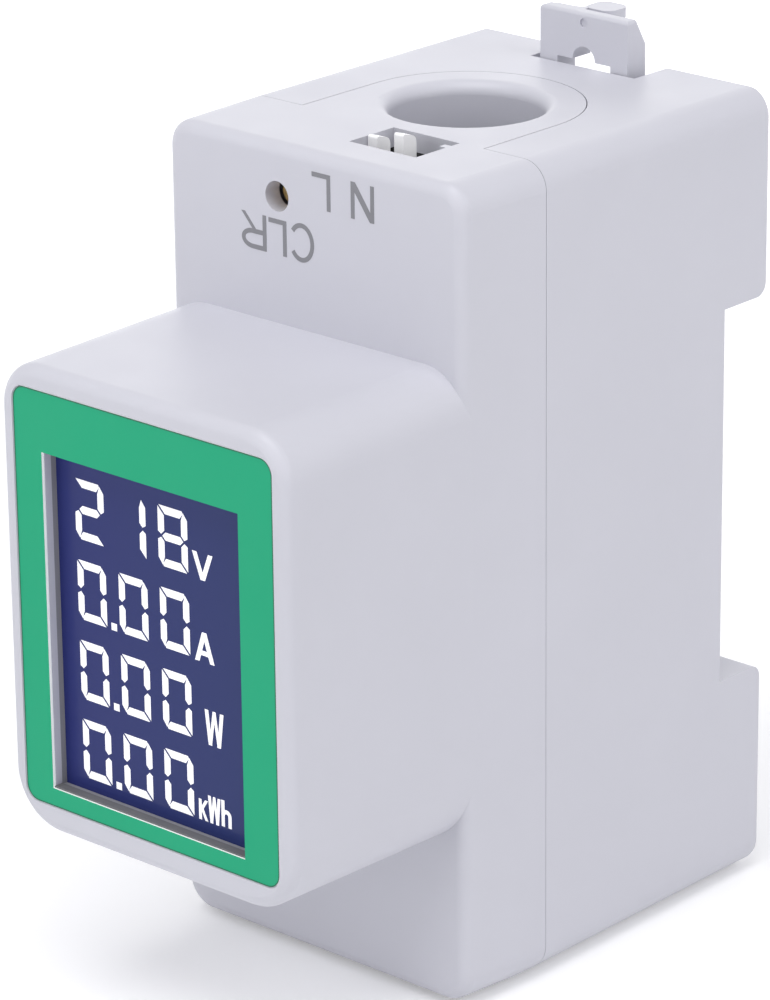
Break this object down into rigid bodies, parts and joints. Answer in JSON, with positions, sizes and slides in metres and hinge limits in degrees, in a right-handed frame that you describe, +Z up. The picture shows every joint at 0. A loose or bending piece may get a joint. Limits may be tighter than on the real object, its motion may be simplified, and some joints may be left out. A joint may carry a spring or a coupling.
{
  "type": "energy meter",
  "caption": "Rail mounted energy meter with a through hole for the measured conductor, a backlit display in a green front plate and push-in supply terminals",
  "frame": {"origin": "middle of the footprint, on the face that the meter stands on", "axes": "+X right seen from the front, the display faces -Y, +Z up"},
  "size_m": [0.036, 0.064, 0.0827],
  "materials": {
    "housing_plastic": "fine moulded texture, light grey",
    "lever_plastic": "smooth, light grey",
    "green_plate": "printed, satin",
    "display_glass": "clear face over a blue display",
    "white_plastic": "milky",
    "grey_plastic": "smooth",
    "black_plastic": "fine moulded texture",
    "board": "glass fibre laminate, solder resist",
    "steel": "plated",
    "brass": "gold coloured, plain",
    "copper": "enamelled copper wire",
    "capacitor_film": "yellow box",
    "varnish": "dipped"
  },
  "bodies": {
    "housing": {"rear_housing": "housing_plastic", "front_housing": "housing_plastic", "face_plate": "green_plate", "lcd_panel": "display_glass", "lcd_backlight": "white_plastic", "lcd_holder": "grey_plastic", "display_board": "board", "display_board_screws": "steel", "display_controller": "black_plastic", "header_pins": "brass", "header_socket": "black_plastic", "metering_board": "board", "metering_board_screws": "steel", "metering_chip": "black_plastic", "crystal": "steel", "dropper_capacitor": "capacitor_film", "filter_capacitor": "black_plastic", "varistor": "varnish", "fuse_resistor": "varnish", "bridge_rectifier": "black_plastic", "tact_switch": "steel", "terminal_block": "black_plastic", "contact_line": "brass", "contact_neutral": "brass", "clamp_spring_line": "steel", "clamp_spring_neutral": "steel", "conductor_sleeve": "housing_plastic", "transformer_case": "black_plastic", "transformer_winding": "copper", "transformer_pins": "brass"},
    "clip": {"rail_clip": "housing_plastic"},
    "button": {"clear_button": "brass"},
    "line_lever": {"release_lever_line": "lever_plastic"},
    "neutral_lever": {"release_lever_neutral": "lever_plastic"}
  },
  "joints": [
    {"name": "rail_clip_slide", "type": "slide", "parent": "housing", "child": "clip", "axis": [0, 0, 1], "range_m": [0, 0.0035], "stiffness_N_per_m": 3000, "springref_m": -0.001},
    {"name": "clear_button_press", "type": "slide", "parent": "housing", "child": "button", "axis": [0, 1, 0], "range_m": [0, 0.00025], "stiffness_N_per_m": 6000, "springref_m": -0.0001},
    {"name": "line_lever_press", "type": "slide", "parent": "housing", "child": "line_lever", "axis": [0, 0, -1], "range_m": [0, 0.001], "stiffness_N_per_m": 5000, "springref_m": -0.0005},
    {"name": "neutral_lever_press", "type": "slide", "parent": "housing", "child": "neutral_lever", "axis": [0, 0, -1], "range_m": [0, 0.001], "stiffness_N_per_m": 5000, "springref_m": -0.0005}
  ]
}
